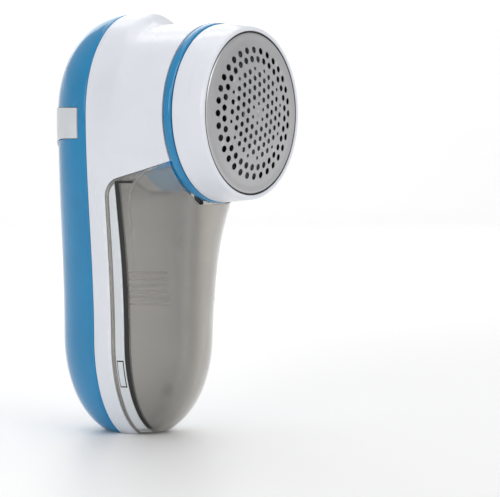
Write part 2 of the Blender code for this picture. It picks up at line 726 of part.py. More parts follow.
# ---------------------------------------------------------------- power
def make_power():
    """Rechargeable cells, their holder, the control board, the charging jack and wires."""
    for side, name in ((1, "left"), (-1, "right")):
        x = side * BATTERY_X
        top = BATTERY_Z + BATTERY_LENGTH
        rod("battery_" + name, BATTERY_R, (x, BATTERY_F, BATTERY_Z), (x, BATTERY_F, top),
            "battery_wrap", 28)
    holder = box("battery_holder", (-15.5, 15.5), (-14.6, -8.0), (24.0, 66.0), "dark_plastic")
    for side in (1, -1):
        x = side * BATTERY_X
        cut(holder, rod(f"cell_bed_{side}", BATTERY_R + GAP, (x, BATTERY_F, 19), (x, BATTERY_F, 71)))
    box("battery_tab", (-12, 12), (-9, -3), (70.3, 70.8), "steel")
    box("control_board", (-13, 13), (-17.1, -15.9), (68, 98), "board_green")
    box("control_chip", (-4, 4), (-15.6, -13.9), (82, 90), "dark_plastic", bevel=0.2)
    jack = rod("charge_jack", 4.4, (0, JACK_F, 4.6), (0, JACK_F, 15), "dark_plastic", 24)
    cut(jack, rod("jack_bore", JACK_R, (0, JACK_F, 3), (0, JACK_F, 13), segments=20))
    join(jack, rod("jack_pin", 0.8, (0, JACK_F, 5.2), (0, JACK_F, 14), segments=10))
    for side, name, material in ((1, "red", "wire_red"), (-1, "black", "wire_black")):
        wire("wire_" + name, 0.6, [(side * 5.0, -18.1, 96.0), (side * 5.0, -18.6, 101.0),
                                   (side * 4.8, -19.6, 105.0), (side * 4.4, -20.2, 110.0),
                                   (side * 4.0, -20.2, 115.0)], material)


def make_case_screws():
    """Screws that pull the casings together from the container's side."""
    for x, z, _ in CASE_SCREWS:
        for side, hand in ((1, "left"), (-1, "right")):
            level = "upper" if z > 40 else "lower"
            turned(f"case_screw_{level}_{hand}",
                   [(0, 7.1), (2.5, 7.1), (2.5, 5.7), (1.2, 5.7), (1.2, -7.0), (0, -7.0)],
                   "steel", 16, (side * x, z))


def make_interlock():
    """Safety switch that stops the motor without its cover, and its push rod."""
    box("interlock_switch", (-4, 4), (16.5, 22.5), (143.3, 146.6), "dark_plastic", bevel=0.3)
    rod("interlock_pin", 0.9, (0, 24.5, PIN_Z), (0, 46.5, PIN_Z), "dark_plastic", 12)


make_rear_shell()
make_front_housing()
make_back_trim()
make_lint_chute()
make_switch()
make_motor()
make_rotor()
make_cutter()
make_head()
make_container()
make_power()
make_case_screws()
make_interlock()
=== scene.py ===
"""Looks of a fabric shaver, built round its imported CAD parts.

Lengths are in millimetres until at() turns them into metres. The front of the head
looks along -Y and +X is the shaver's own left. Depths called f run forward from the
plane where the two casings meet.
"""

import math

import bmesh
import bpy
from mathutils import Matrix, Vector


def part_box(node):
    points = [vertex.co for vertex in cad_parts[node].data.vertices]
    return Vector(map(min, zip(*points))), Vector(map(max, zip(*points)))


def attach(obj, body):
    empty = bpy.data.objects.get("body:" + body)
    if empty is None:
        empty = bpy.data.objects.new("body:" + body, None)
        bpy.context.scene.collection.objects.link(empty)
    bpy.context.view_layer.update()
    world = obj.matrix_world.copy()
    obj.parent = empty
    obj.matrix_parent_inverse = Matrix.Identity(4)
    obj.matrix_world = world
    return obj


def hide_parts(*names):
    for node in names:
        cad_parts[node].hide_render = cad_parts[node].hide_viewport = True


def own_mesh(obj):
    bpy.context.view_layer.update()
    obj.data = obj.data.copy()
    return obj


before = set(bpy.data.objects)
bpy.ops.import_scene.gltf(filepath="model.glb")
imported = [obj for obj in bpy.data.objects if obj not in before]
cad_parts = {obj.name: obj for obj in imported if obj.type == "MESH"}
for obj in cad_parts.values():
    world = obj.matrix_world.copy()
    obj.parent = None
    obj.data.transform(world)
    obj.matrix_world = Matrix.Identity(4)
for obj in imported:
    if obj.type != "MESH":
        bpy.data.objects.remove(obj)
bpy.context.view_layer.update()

# ---------------------------------------------------------------- dimensions (mm)
MM = 0.001
GAP = 0.3
PARTING_Y = 15.0
HEAD_Z = 118.0
HANDLE_R = 29.0
CROWN_R = 36.5
HEEL_Z = 36.0
HEEL_W = 24.5
HEEL_R = 38.5
BACK_DEPTH = 25.0
ROUNDNESS = 2.3
WALL = 2.2
EDGE_ROUND = 0.45                # rounding of the white casing's rear edge

BARREL_R = 32.4
BARREL_FRONT = 36.5
FLARE_END = 16.0
CREST_START, CREST_END = 9.5, 15.5
STRIP_DEPTH = 7.5
CORNER_Z, CORNER_R = 95.2, 7.5
CORNER_SWEEP = 0.83              # share of a quarter turn before the straight edge starts
EDGE_RISE = 0.27

BIN_REACH = 29.0                 # how far forward the container comes low down
SWELL, SWELL_Z, SWELL_SPAN = 0.9, 37.0, 21.0    # how it swells towards the barrel
BIN_WALL = 1.6
LIP_Z = 85.3
BIN_FRONT = 36.2                 # front of the container's flanks, behind the collar
CHUTE_START, CHUTE_END = 20.5, 36.2
CHUTE_RISE = 3.0                 # how far the chute's floor lies inside the barrel's circle
CHUTE_REAR, CHUTE_WALL = 7.8, 1.2
LINT_OUTLET = ((-9.0, 9.0), (14.0, 30.0), (78.0, 94.0))      # limits in x, f and z
PARTITION_TOP_Z, SHOULDER_LOW_Z = 90.0, 83.0
SHOULDER_REACH, SHOULDER_R = 26.5, 31.0
SHADE_LINE_HALF = 0.85                 # half width of the dark line on the container
RIB_COUNT, RIB_LOW_Z, RIB_PITCH, RIB_HEIGHT = 6, 49.0, 2.3, 0.75

SPRING_R, SPRING_WIRE_R, SPRING_TURNS = 3.2, 0.25, 3
SPRING_BACK, SPRING_LENGTH, FLOAT_TRAVEL = 42.6, 3.0, 1.2

FOIL_R = 28.7
FOIL_FLAT_R = 26.2               # where the dome ends in a flat margin
ROLL_R = 0.8                     # radius of the foil's rolled rim
FOIL_EDGE, FOIL_DOME, FOIL_THICKNESS = 52.2, 3.0, 0.3
HOLE_PITCH = 3.47
HOLE_TILT = math.radians(21.5)
SMALL_HOLE_R, HOLE_R = 0.63, 0.95
NET_R = 24.3                     # where the holed part of the foil ends

YOKE_DIP_Z, ARM_TOP_Z, ARM_LOW_Z = 113.5, 120.0, 109.0
STEM_HALF, ARCH_WIDTH, ARCH_DROP = 5.0, 24.0, 26.0
STEM_TIP_Z, STEM_TIP_R = 34.5, 3.6
ARM_END_DEPTH = 3.8
TRIM_PROUD, TRIM_SUNK = 0.45, 0.5
BED_GAP, BED_OPEN = 0.25, 2.0    # room beside a plate's bed, and how far the cut clears it
YOKE_BED, PLATE_BED = 0.95, 0.9

SWITCH_Z0, SWITCH_Z1 = 78.0, 103.0
SWITCH_F0, SWITCH_F1 = -4.0, 4.5
KNOB_SLOT = ((20.0, 34.0), (-1.2, 1.8), (87.7, 96.3))        # limits in x, f and z
KNOB_RIDGES = 6


def at(x, f, z):
    """World point in metres for a place given in millimetres."""
    return Vector((x, PARTING_Y - f, z)) * MM


# ---------------------------------------------------------------- outer form
def smooth_step(low, high, value):
    """Ease from 0 at low to 1 at high."""
    t = min(1.0, max(0.0, (value - low) / (high - low)))
    return t * t * (3.0 - 2.0 * t)


def super_root(value):
    """Height of the section's curve at a fraction of its span."""
    return max(0.0, 1.0 - min(1.0, abs(value)) ** ROUNDNESS) ** (1.0 / ROUNDNESS)


def handle_half_width(z, inset=0.0):
    """Half width of the handle where the casings meet."""
    if z > HEAD_Z:
        rise = min(1.0, (z - HEAD_Z) / (CROWN_R - inset))
        return (HANDLE_R - inset) * math.sqrt(1.0 - rise * rise)
    if z < HEEL_Z:
        drop = min(1.0, (HEEL_Z - z) / (HEEL_R - inset))
        return (HEEL_W - inset) * math.sqrt(1.0 - drop * drop)
    return HEEL_W - inset + (HANDLE_R - HEEL_W) * smooth_step(HEEL_Z, HEAD_Z, z)


def barrel_half_width(z):
    """Half width of the barrel's circle at a height."""
    return math.sqrt(max(0.0, BARREL_R ** 2 - (z - HEAD_Z) ** 2))


def front_depth(z, inset=0.0):
    """How far the front of the body reaches forward at a height."""
    depth = BIN_REACH + SWELL * math.exp((z - SWELL_Z) / SWELL_SPAN)
    if z < HEEL_Z:
        depth *= super_root((HEEL_Z - z) / (HEEL_R - inset))
    if z > HEAD_Z - BARREL_R:
        share = min(0.999, barrel_half_width(z) / handle_half_width(min(z, HEAD_Z)))
        depth = max(depth, (BARREL_FRONT - GAP) / super_root(share))
    return max(0.0, depth - inset)


def body_half_width(z, f, inset=0.0):
    """Half width of the front body below the head's axis."""
    depth = front_depth(z, inset)
    if depth <= 0.0:
        return 0.0
    plain = handle_half_width(z, inset) * super_root(f / depth)
    flare = max(0.0, barrel_half_width(z) - inset - plain)
    return plain + flare * smooth_step(1.0, FLARE_END, f)


def lowest_z(f, inset=0.0):
    """Height at which the front body's outline closes at a depth."""
    low, high = HEEL_Z - HEEL_R + inset, HEAD_Z - BARREL_R
    for _ in range(40):
        middle = (low + high) / 2
        if front_depth(middle, inset) > f:
            high = middle
        else:
            low = middle
    return high


def edge_z(f):
    """Height of the white casing's edge above the container, at a depth."""
    centre_f, centre_z = STRIP_DEPTH + CORNER_R, CORNER_Z - CORNER_R
    turn = math.pi * (1.0 - CORNER_SWEEP / 2)
    end_f = centre_f + CORNER_R * math.cos(turn)
    if f <= STRIP_DEPTH:
        return centre_z
    if f <= end_f:
        return centre_z + math.sqrt(max(0.0, CORNER_R ** 2 - (f - centre_f) ** 2))
    return centre_z + CORNER_R * math.sin(turn) + EDGE_RISE * (f - end_f)


def corner_depths(start, radius, count):
    """Depths that follow a rounded corner evenly."""
    turns = [math.pi * (1.0 - CORNER_SWEEP / 2 * i / count) for i in range(1, count + 1)]
    return [start + radius * (1.0 + math.cos(turn)) for turn in turns]


def crown_point(f, angle, inset):
    """Point of the outline above the head's axis, where the handle blends into the barrel."""
    plain_x, plain_z = (HANDLE_R - inset) * math.cos(angle), (CROWN_R - inset) * math.sin(angle)
    plain = math.hypot(plain_x, plain_z)
    direction = math.atan2(plain_z, plain_x)
    side_share = smooth_step(1.0, FLARE_END, f)
    crest_share = smooth_step(CREST_START, CREST_END, f)
    rise = math.sin(direction) ** 2
    share = side_share * (1.0 - rise) + crest_share * rise
    radius = plain + (BARREL_R - inset - plain) * share
    return radius * math.cos(direction), HEAD_Z + radius * math.sin(direction)


def rear_width(z, proud=0.0):
    """Half width of the rear casing where it meets the front one."""
    return handle_half_width(min(z, HEAD_Z)) + proud


def rear_point(share, z, side=1.0, proud=0.0):
    """Point of the rear casing at a share of its width and a height along the spine."""
    x = side * share * rear_width(z, proud)
    if z > HEAD_Z:
        reach = share ** 2 - ((z - HEAD_Z) / (CROWN_R + proud)) ** 2
        x = side * rear_width(z, proud) * math.sqrt(max(0.0, reach))
    return at(x, -(BACK_DEPTH + proud) * super_root(share), z)


# ---------------------------------------------------------------- mesh helpers
def double_grid(outer, inner, wrap=0, pole=None):
    """Join two grids of points with the same (row, column) keys into one closed wall.

    The pole is a row that folds onto itself, where the two grids aren't joined.
    """
    form = bmesh.new()
    out = {key: form.verts.new(point) for key, point in outer.items()}
    back = {key: form.verts.new(point) for key, point in inner.items()}
    rim = {}
    for row, col in outer:
        after = (col + 1) % wrap if wrap else col + 1
        corners = [(row, col), (row + 1, col), (row + 1, after), (row, after)]
        if not all(corner in outer for corner in corners):
            continue
        form.faces.new([out[corner] for corner in corners])
        form.faces.new([back[corner] for corner in reversed(corners)])
        for a, b in zip(corners, corners[1:] + corners[:1]):
            edge = frozenset((a, b))
            rim[edge] = None if edge in rim else (a, b)
    for pair in rim.values():
        if pair and not pair[0][0] == pair[1][0] == pole:
            a, b = pair
            form.faces.new((out[b], out[a], back[a], back[b]))
    bmesh.ops.remove_doubles(form, verts=form.verts, dist=2e-6)
    loose = [vert for vert in form.verts if not vert.link_faces]
    bmesh.ops.delete(form, geom=loose, context="VERTS")
    bmesh.ops.recalc_face_normals(form, faces=form.faces)
    return form


def loft(rings):
    """Skin closed rings that have equal numbers of points, and cap both ends."""
    form = bmesh.new()
    rows = [[form.verts.new(point) for point in ring] for ring in rings]
    count = len(rows[0])
    for low, high in zip(rows, rows[1:]):
        for i in range(count):
            j = (i + 1) % count
            form.faces.new((low[i], low[j], high[j], high[i]))
    form.faces.new(rows[0])
    form.faces.new(rows[-1])
    bmesh.ops.recalc_face_normals(form, faces=form.faces)
    return form


def flat_foot(form):
    """Cut the form off level with the floor and close the cut."""
    everything = form.verts[:] + form.edges[:] + form.faces[:]
    bmesh.ops.bisect_plane(form, geom=everything, dist=1e-7, plane_co=(0, 0, 0),
                           plane_no=(0, 0, 1), clear_inner=True)
    open_edges = [edge for edge in form.edges if edge.is_boundary]
    bmesh.ops.holes_fill(form, edges=open_edges, sides=0)
    bmesh.ops.recalc_face_normals(form, faces=form.faces)
    return form


def turned(profile, segments=128):
    """Turn a closed loop of (radius, f) points about the head's axis."""
    rings = []
    form = bmesh.new()
    for i in range(segments):
        angle = 2.0 * math.pi * i / segments
        across, up = math.cos(angle), math.sin(angle)
        rings.append([form.verts.new(at(r * across, f, HEAD_Z + r * up)) for r, f in profile])
    for ring, after in zip(rings, rings[1:] + rings[:1]):
        for j in range(len(profile)):
            k = (j + 1) % len(profile)
            form.faces.new((ring[j], ring[k], after[k], after[j]))
    bmesh.ops.remove_doubles(form, verts=form.verts, dist=2e-6)
    bmesh.ops.recalc_face_normals(form, faces=form.faces)
    return form


def block(x, f, z):
    """Box between pairs of limits."""
    low, high = at(x[0], f[1], z[0]), at(x[1], f[0], z[1])
    form = bmesh.new()
    bmesh.ops.create_cube(form, size=1.0)
    bmesh.ops.scale(form, vec=high - low, verts=form.verts)
    bmesh.ops.translate(form, vec=(low + high) / 2, verts=form.verts)
    return form


def add_form(form, part):
    """Add one bmesh's geometry to another."""
    mesh = bpy.data.meshes.new("part")
    part.to_mesh(mesh)
    part.free()
    form.from_mesh(mesh)
    bpy.data.meshes.remove(mesh)


def add_object(name, form):
    """Turn a bmesh into a smooth-shaded object."""
    mesh = bpy.data.meshes.new(name)
    form.to_mesh(mesh)
    form.free()
    mesh.shade_smooth()
    thing = bpy.data.objects.new(name, mesh)
    bpy.context.scene.collection.objects.link(thing)
    return thing


def subtract(thing, *forms):
    """Cut forms out of an object and keep the result as its own mesh."""
    tools = [add_object(f"{thing.name}_tool_{i}", form) for i, form in enumerate(forms)]
    for tool in tools:
        change = thing.modifiers.new(tool.name, "BOOLEAN")
        change.operation = "DIFFERENCE"
        change.solver = "EXACT"
        change.object = tool
    bpy.context.view_layer.update()
    graph = bpy.context.evaluated_depsgraph_get()
    shaped = bpy.data.meshes.new_from_object(thing.evaluated_get(graph))
    thing.modifiers.clear()
    old = thing.data
    thing.data = shaped
    bpy.data.meshes.remove(old)
    shaped.name = thing.name
    shaped.materials.clear()
    shaped.shade_smooth()
    for tool in tools:
        bpy.data.objects.remove(tool, do_unlink=True)
    return thing


def finish_piece(thing, finish, body, replaced=(), bevel=0.0, sharp=35.0, segments=3):
    """Round an object's edges, give it its material and fix it to a CAD body."""
    if bevel:
        edges = thing.modifiers.new("edges", "BEVEL")
        edges.width = bevel * MM
        edges.segments = segments
        edges.limit_method = "ANGLE"
        edges.angle_limit = math.radians(sharp)
        edges.harden_normals = True
        edges.use_clamp_overlap = True
    thing.data.materials.clear()
    thing.data.materials.append(FINISHES[finish])
    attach(thing, body)
    if replaced:
        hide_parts(*replaced)
    return thing


def piece(name, form, finish, body, replaced=(), bevel=0.0, sharp=35.0, segments=3):
    """Add a bmesh as a finished piece of the shaver."""
    return finish_piece(add_object(name, form), finish, body, replaced, bevel, sharp, segments)


# ---------------------------------------------------------------- finishes
def ramp_between(tree, source, low, high, out_low, out_high):
    """Map a value from one range to another, held at its ends."""
    node = tree.nodes.new("ShaderNodeMapRange")
    for name, value in (("From Min", low), ("From Max", high), ("To Min", out_low), ("To Max", out_high)):
        node.inputs[name].default_value = value
    tree.links.new(source, node.inputs["Value"])
    return node.outputs["Result"]


def noise(tree, scale, detail=3.0, stretch=(1.0, 1.0, 1.0), distortion=0.0):
    """Noise over the piece, with its scale per metre and a stretch for grain."""
    place = tree.nodes.new("ShaderNodeTexCoord")
    mapping = tree.nodes.new("ShaderNodeMapping")
    mapping.inputs["Scale"].default_value = stretch
    texture = tree.nodes.new("ShaderNodeTexNoise")
    texture.inputs["Scale"].default_value = scale
    texture.inputs["Detail"].default_value = detail
    texture.inputs["Distortion"].default_value = distortion
    tree.links.new(place.outputs["Object"], mapping.inputs["Vector"])
    tree.links.new(mapping.outputs["Vector"], texture.inputs["Vector"])
    return texture.outputs["Fac"]


def blend_colours(tree, share, first, second):
    """Mix two colours, either of which may be a colour or an output."""
    node = tree.nodes.new("ShaderNodeMix")
    node.data_type = "RGBA"
    tree.links.new(share, node.inputs["Factor"])
    for socket, colour in ((node.inputs[6], first), (node.inputs[7], second)):
        if isinstance(colour, tuple):
            socket.default_value = (*colour, 1.0)
        else:
            tree.links.new(colour, socket)
    return node.outputs[2]


def shaded(colour, factor):
    """A colour made darker or lighter."""
    return tuple(min(1.0, channel * factor) for channel in colour)


def make_finish(name, colour, roughness, metallic=0.0, mottle=0.06, wear=0.3, wear_colour=None,
                grain=0.10, grain_scale=2600.0, grain_stretch=(1.0, 1.0, 1.0), scuff=0.05, **sockets):
    """Material with mottled colour, worn edges, uneven gloss and a fine surface grain."""
    material = bpy.data.materials.new(name)
    material.use_nodes = True
    tree = material.node_tree
    shader = tree.nodes["Principled BSDF"]
    for socket, value in sockets.items():
        shader.inputs[socket.replace("_", " ")].default_value = value
    shader.inputs["Metallic"].default_value = metallic

    cloud = ramp_between(tree, noise(tree, 60.0, 5.0, distortion=0.4), 0.3, 0.7, 0.0, 1.0)
    body = blend_colours(tree, cloud, shaded(colour, 1.0 - mottle), shaded(colour, 1.0 + mottle))
    geometry = tree.nodes.new("ShaderNodeNewGeometry")
    edge = ramp_between(tree, geometry.outputs["Pointiness"], 0.53, 0.60, 0.0, wear)
    patchy = ramp_between(tree, noise(tree, 350.0, 4.0), 0.45, 0.62, 0.0, 1.0)
    worn = tree.nodes.new("ShaderNodeMath")
    worn.operation = "MULTIPLY"
    tree.links.new(edge, worn.inputs[0])
    tree.links.new(patchy, worn.inputs[1])
    final = blend_colours(tree, worn.outputs[0], body, wear_colour or shaded(colour, 1.5))
    tree.links.new(final, shader.inputs["Base Color"])

    smear = noise(tree, 30.0, 8.0, (1.0, 1.0, 0.25), 0.8)
    gloss = ramp_between(tree, smear, 0.35, 0.7, max(0.02, roughness - scuff), roughness + scuff)
    tree.links.new(gloss, shader.inputs["Roughness"])

    bump = tree.nodes.new("ShaderNodeBump")
    bump.inputs["Strength"].default_value = grain
    bump.inputs["Distance"].default_value = 0.00005
    tree.links.new(noise(tree, grain_scale, 2.0, grain_stretch), bump.inputs["Height"])
    tree.links.new(bump.outputs["Normal"], shader.inputs["Normal"])
    return material


BLUE = (0.001, 0.215, 0.455)
WHITE = (0.76, 0.785, 0.84)
FINISHES = {
    "blue_plastic": make_finish("blue_plastic", BLUE, 0.17, wear_colour=(0.10, 0.42, 0.70),
                                Coat_Weight=0.3, Coat_Roughness=0.05),
    "white_plastic": make_finish("white_plastic", WHITE, 0.30, mottle=0.02, wear=0.5, scuff=0.03,
                                 wear_colour=(0.86, 0.88, 0.90), Coat_Weight=0.2, Coat_Roughness=0.12),
    "chute_blue": make_finish("chute_blue", (0.0, 0.42, 0.98), 0.28, wear_colour=(0.02, 0.46, 0.98)),
    "trim_plastic": make_finish("trim_plastic", (0.66, 0.69, 0.72), 0.32, mottle=0.03),
    "smoke_plastic": make_finish("smoke_plastic", (0.72, 0.695, 0.645), 0.22, mottle=0.03, wear=0.2,
                                 grain=0.05, scuff=0.02, Transmission_Weight=0.90, IOR=1.45,
                                 Coat_Weight=1.0, Coat_Roughness=0.06),
    # Near-black finish that paints shade into gaps: round the foil's rim, round the latch, and along the
    # container's dark line and bar
    "seal_rubber": make_finish("seal_rubber", (0.012, 0.012, 0.011), 0.55, mottle=0.25, grain=0.3),
    "foil_steel": make_finish("foil_steel", (0.52, 0.52, 0.53), 0.36, 1.0, mottle=0.05, wear=0.6,
                              wear_colour=(0.75, 0.75, 0.76), grain=0.12, grain_scale=1200.0,
                              grain_stretch=(1.0, 1.0, 6.0)),
    "steel": make_finish("steel", (0.58, 0.58, 0.59), 0.26, 1.0, mottle=0.08, grain=0.15,
                         grain_stretch=(1.0, 8.0, 1.0)),
    "motor_steel": make_finish("motor_steel", (0.46, 0.46, 0.45), 0.34, 1.0, mottle=0.12, grain=0.2,
                               grain_stretch=(1.0, 6.0, 1.0)),
    "dark_plastic": make_finish("dark_plastic", (0.028, 0.028, 0.031), 0.42, mottle=0.2, grain=0.35),
    "board_green": make_finish("board_green", (0.015, 0.150, 0.060), 0.42, mottle=0.15, grain=0.3),
    "copper": make_finish("copper", (0.70, 0.34, 0.17), 0.28, 1.0, mottle=0.12, grain=0.2),
    "battery_wrap": make_finish("battery_wrap", (0.040, 0.260, 0.100), 0.30, mottle=0.08, grain=0.12),
    "wire_red": make_finish("wire_red", (0.50, 0.025, 0.018), 0.45, mottle=0.08, grain=0.2),
    "wire_black": make_finish("wire_black", (0.018, 0.018, 0.019), 0.45, mottle=0.15, grain=0.2),
}


# ---------------------------------------------------------------- rear casing and trim
def rear_ring(turn, inset, grow, around=144):
    """Closed ring of the rear casing's form; turn runs from the parting plane to the back."""
    share = max(0.0, math.cos(turn)) ** (2.0 / ROUNDNESS)
    depth = (BACK_DEPTH - inset) * math.sin(turn) ** (2.0 / ROUNDNESS)
    split, trim = 0.55, inset + grow
    ring = []
    for k in range(around):
        angle = 2.0 * math.pi * k / around
        across, up = math.cos(angle), math.sin(angle)
        if up >= 0:
            x = (HANDLE_R - trim) * across * share
            z = HEAD_Z + (CROWN_R - trim) * up * share
        else:
            side = math.copysign(1.0, across)
            part = math.atan2(-up, abs(across)) / (math.pi / 2)
            if part < split:
                z = HEAD_Z + (HEEL_Z - HEAD_Z) * part / split
                x = side * handle_half_width(z, trim) * share
            else:
                heel = math.pi / 2 * (part - split) / (1.0 - split)
                x = side * (HEEL_W - trim) * math.cos(heel) * share
                z = HEEL_Z - (HEEL_R - trim) * math.sin(heel) * share
        ring.append((x, -depth, z))
    return ring


def rear_rings(inset=0.0):
    """Rings from the rounded rim at the parting plane to the back, as (x, f, z) points."""
    rim = [(0.0, 0.75), (0.12, 0.38), (0.38, 0.12), (0.75, 0.0)]
    rings = []
    if not inset:
        for depth, grow in rim[:-1]:
            rings.append([(x, -depth, z) for x, _, z in rear_ring(0.0, 0.0, grow)])
        start = math.asin((rim[-1][0] / BACK_DEPTH) ** (ROUNDNESS / 2))
    else:
        for depth, _ in rim[:-1]:
            rings.append([(x, -depth, z) for x, _, z in rear_ring(0.0, inset, 0.0)])
        start = 0.02
    rows = 40
    for i in range(rows + 1):
        turn = start + (math.pi / 2 - start) * i / rows
        rings.append(rear_ring(turn, inset, 0.0))
    return rings


def yoke_low(share):
    """Height of the yoke's lower edge at a share of the casing's width."""
    x = share * HANDLE_R
    if x <= STEM_HALF:
        return ARM_LOW_Z - ARCH_DROP
    reach = 1.0 - min(1.0, (x - STEM_HALF) / ARCH_WIDTH)
    return ARM_LOW_Z - ARCH_DROP + ARCH_DROP * math.sqrt(1.0 - reach ** 2)


def yoke_shell(grow=0.0, proud=TRIM_PROUD, sunk=TRIM_SUNK):
    """The yoke as a curved plate over the rear casing: two arms and a stem."""
    stem_share = STEM_HALF / HANDLE_R
    end_share = super_root(ARM_END_DEPTH / BACK_DEPTH)
    wide_end = super_root((ARM_END_DEPTH - grow) / BACK_DEPTH)
    bar_rows, stem_rows, tip_rows = 12, 26, 7
    columns = [stem_share * i / 5 for i in range(6)]
    for i in range(1, 31):
        columns.append(stem_share + (end_share - stem_share) * (1.0 - math.cos(math.pi * i / 30)) / 2)
    outer, inner = {}, {}
    for col in range(-len(columns) + 1, len(columns)):
        share, side = columns[abs(col)], math.copysign(1.0, col)
        if abs(col) <= 5:
            wide = (stem_share + grow / HANDLE_R) * abs(col) / 5
        else:
            part = (share - stem_share) / (end_share - stem_share)
            wide = (stem_share + grow / HANDLE_R) * (1.0 - part) + wide_end * part
        top = YOKE_DIP_Z + (ARM_TOP_Z - YOKE_DIP_Z) * smooth_step(0.0, 24.0, share * HANDLE_R) + grow
        low = yoke_low(share) - grow
        heights = [(top + (low - top) * row / bar_rows, None) for row in range(bar_rows + 1)]
        if abs(col) <= 5:
            join = ARM_LOW_Z - ARCH_DROP - grow
            end = STEM_TIP_Z + STEM_TIP_R
            part = abs(col) / 5
            for row in range(1, stem_rows + 1):
                z = join + (end - join) * row / stem_rows
                wide_half = stem_share * rear_width(join)
                half = wide_half + (STEM_TIP_R - wide_half) * ((join - z) / (join - end))
                heights.append((z, part * (half + grow) / rear_width(z)))
            for row in range(1, tip_rows + 1):
                turn = math.pi / 2 * row / tip_rows
                half = (STEM_TIP_R + grow) * math.cos(turn)
                drop = (STEM_TIP_R + grow) * (math.sin(turn) if row < tip_rows else 1.0)
                z = end - drop
                heights.append((z, part * max(half, 0.15) / rear_width(z)))
        for row, (z, narrow) in enumerate(heights):
            place = wide if narrow is None else narrow
            outer[row, col] = rear_point(place, z, side, proud)
            inner[row, col] = rear_point(place, z, side, -sunk)
    return double_grid(outer, inner)


def side_plate(low, high, grow=0.0, rows=20, cols=16):
    """Curved plate on the +X flank between two offsets from the casing's surface."""
    outer, inner = {}, {}
    for i in range(rows + 1):
        z = SWITCH_Z0 - grow + (SWITCH_Z1 - SWITCH_Z0 + 2 * grow) * i / rows
        for k in range(cols + 1):
            f = SWITCH_F0 - grow + (SWITCH_F1 - SWITCH_F0 + 2 * grow) * k / cols
            x = body_half_width(z, f) if f >= 0 else handle_half_width(z) * super_root(f / BACK_DEPTH)
            outer[i, k] = at(x + high, f, z)
            inner[i, k] = at(x + low, f, z)
    return double_grid(outer, inner)


def make_rear_shell():
    """Blue casing: rounded rim, a bed for the yoke and a window for the switch plate."""
    outer_rings, inner_rings = rear_rings(), rear_rings(WALL)
    outer, inner = {}, {}
    for row, (ring, back) in enumerate(zip(outer_rings, inner_rings)):
        for col, (point, under) in enumerate(zip(ring, back)):
            outer[row, col] = at(*point)
            inner[row, col] = at(under[0], under[1], max(WALL, under[2]))
    form = double_grid(outer, inner, len(outer_rings[0]), len(outer_rings) - 1)
    shell = add_object("rear_casing", flat_foot(form))
    subtract(shell, yoke_shell(BED_GAP, BED_OPEN, YOKE_BED), side_plate(-PLATE_BED, BED_OPEN, BED_GAP))
    finish_piece(shell, "blue_plastic", "housing", ["rear_shell"], 0.12)


def make_back_trim():
    """Pale yoke with softly rounded edges."""
    piece("back_yoke", yoke_shell(), "trim_plastic", "housing", ["back_trim"], 0.22)


# ---------------------------------------------------------------- front casing
def front_columns(f, inset, flank=44, upper=16, crown=56):
    """Closed outline of the white casing at a depth, from the bottom round to the bottom."""
    base = lowest_z(f, inset)
    joint = edge_z(f)
    side = []
    for j in range(1, flank + 1):
        z = base + (edge_z(0.0) - base) * (1.0 - math.cos(math.pi / 2 * j / flank))
        side.append((body_half_width(z, f, inset), z))
    side[-1] = (body_half_width(joint, f, inset), joint)
    for j in range(1, upper + 1):
        z = joint + (HEAD_Z - joint) * j / upper
        side.append((body_half_width(z, f, inset), z))
    top = [crown_point(f, math.pi * i / crown, inset) for i in range(1, crown)]
    return [(0.0, base)] + side + top + [(-x, z) for x, z in reversed(side)]


def front_depths():
    """Depths of the white casing's rows, closest where its corner turns."""
    start = [0.0, 0.14, 0.5, 1.2, 2.2, 3.3, 4.4, 5.5, 6.6, STRIP_DEPTH]
    corner = corner_depths(STRIP_DEPTH, CORNER_R, 12)
    last = corner[-1]
    rest = [last + (BARREL_FRONT - last) * i / 20 for i in range(1, 21)]
    return start + corner + rest


def make_front_housing():
    """White casing: strip beside the container, shoulders and the upper barrel."""
    flank = 44
    outer, inner = {}, {}
    for row, f in enumerate(front_depths()):
        short = EDGE_ROUND - min(f, EDGE_ROUND)
        round_off = max(0.0, EDGE_ROUND - math.sqrt(max(0.0, EDGE_ROUND ** 2 - short ** 2)))
        ring = front_columns(f, round_off)
        under = front_columns(f, WALL)
        count = len(ring)
        for col in range(count):
            if f > STRIP_DEPTH and (col < flank or col > count - flank):
                continue
            outer[row, col] = at(ring[col][0], f, ring[col][1])
            inner[row, col] = at(under[col][0], f, max(WALL, under[col][1]))
    shell = add_object("front_casing", flat_foot(double_grid(outer, inner, count)))
    subtract(shell, side_plate(-PLATE_BED, BED_OPEN, BED_GAP))
    finish_piece(shell, "white_plastic", "housing", ["front_housing"], 0.3)


def make_partition():
    """Wall behind the container and the shoulder that carries the barrel's floor."""
    outer, inner = {}, {}
    for row in range(61):
        z = WALL + (PARTITION_TOP_Z - WALL) * row / 60
        half = body_half_width(z, 4.5, WALL - 0.4)
        for col in range(13):
            x = half * (col / 6 - 1.0)
            swell = 0.35 * (1.0 - (col / 6 - 1.0) ** 4)
            outer[row, col] = at(x, 5.05 + swell, z)
            inner[row, col] = at(x, 3.6, z)
    piece("partition_wall", double_grid(outer, inner), "white_plastic", "housing", bevel=0.25)
    outer, inner = {}, {}
    for col in range(41):
        x = SHOULDER_REACH * (col / 20 - 1.0)
        top = HEAD_Z - math.sqrt(SHOULDER_R ** 2 - x ** 2)
        for row in range(7):
            z = SHOULDER_LOW_Z + (top - SHOULDER_LOW_Z) * row / 6
            outer[row, col] = at(x, STRIP_DEPTH - 0.3, z)
            inner[row, col] = at(x, 4.0, z)
    piece("partition_shoulder", double_grid(outer, inner), "white_plastic", "housing", bevel=0.25)


